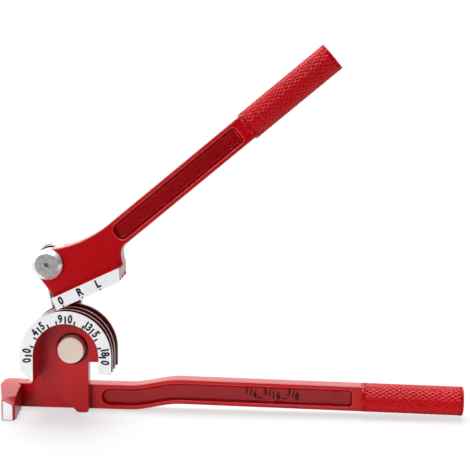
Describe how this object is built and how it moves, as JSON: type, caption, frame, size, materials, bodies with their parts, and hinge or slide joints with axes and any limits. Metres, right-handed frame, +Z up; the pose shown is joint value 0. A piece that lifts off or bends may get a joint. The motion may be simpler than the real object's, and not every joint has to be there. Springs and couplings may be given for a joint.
{
  "type": "lever tube bender",
  "caption": "Hand tube bender: a grooved half-round forming wheel with a degree dial and a hook on a fixed handle, and a linked lever whose grooved shoe rolls the tube round the wheel.",
  "frame": {"origin": "middle of the flat foot of the forming wheel's leg, on the surface it stands on", "axes": "+X along the lower handle towards its grip, +Y away from the dial's face, +Z up"},
  "size_m": [0.3118, 0.0493, 0.2472],
  "materials": {
    "red_paint": "gloss",
    "white_enamel": "satin",
    "nickel_pin": "satin",
    "black_steel": "satin",
    "bronze": "satin",
    "bright_link": "bright"
  },
  "bodies": {
    "base": {"lower_handle": "red_paint", "forming_wheel": "red_paint", "dial_plate": "white_enamel", "lower_grip": "red_paint", "wheel_screws": "black_steel", "wheel_dowels": "nickel_pin", "centre_pin": "nickel_pin", "pivot_washer": "bronze", "pivot_rear_washer": "nickel_pin", "pivot_ring": "black_steel"},
    "link": {"link": "bright_link", "pivot_bush": "bronze", "lever_pin": "nickel_pin", "lever_front_washer": "nickel_pin", "lever_rear_washer": "bronze", "lever_ring": "black_steel"},
    "lever": {"lever_handle": "red_paint", "lever_bush": "bronze", "forming_shoe": "red_paint", "index_plate": "white_enamel", "shoe_screws": "black_steel", "upper_grip": "red_paint"}
  },
  "joints": [
    {"name": "link_swing", "type": "hinge", "parent": "base", "child": "link", "pos_m": [-0.0061, 0.00123, 0.044], "axis": [0, -1, 0], "range_deg": [-102, 78]},
    {"name": "lever_pivot", "type": "hinge", "parent": "link", "child": "lever", "pos_m": [-0.01874, -0.00877, 0.10347], "axis": [0, -1, 0], "range_deg": [-20, 100]}
  ]
}
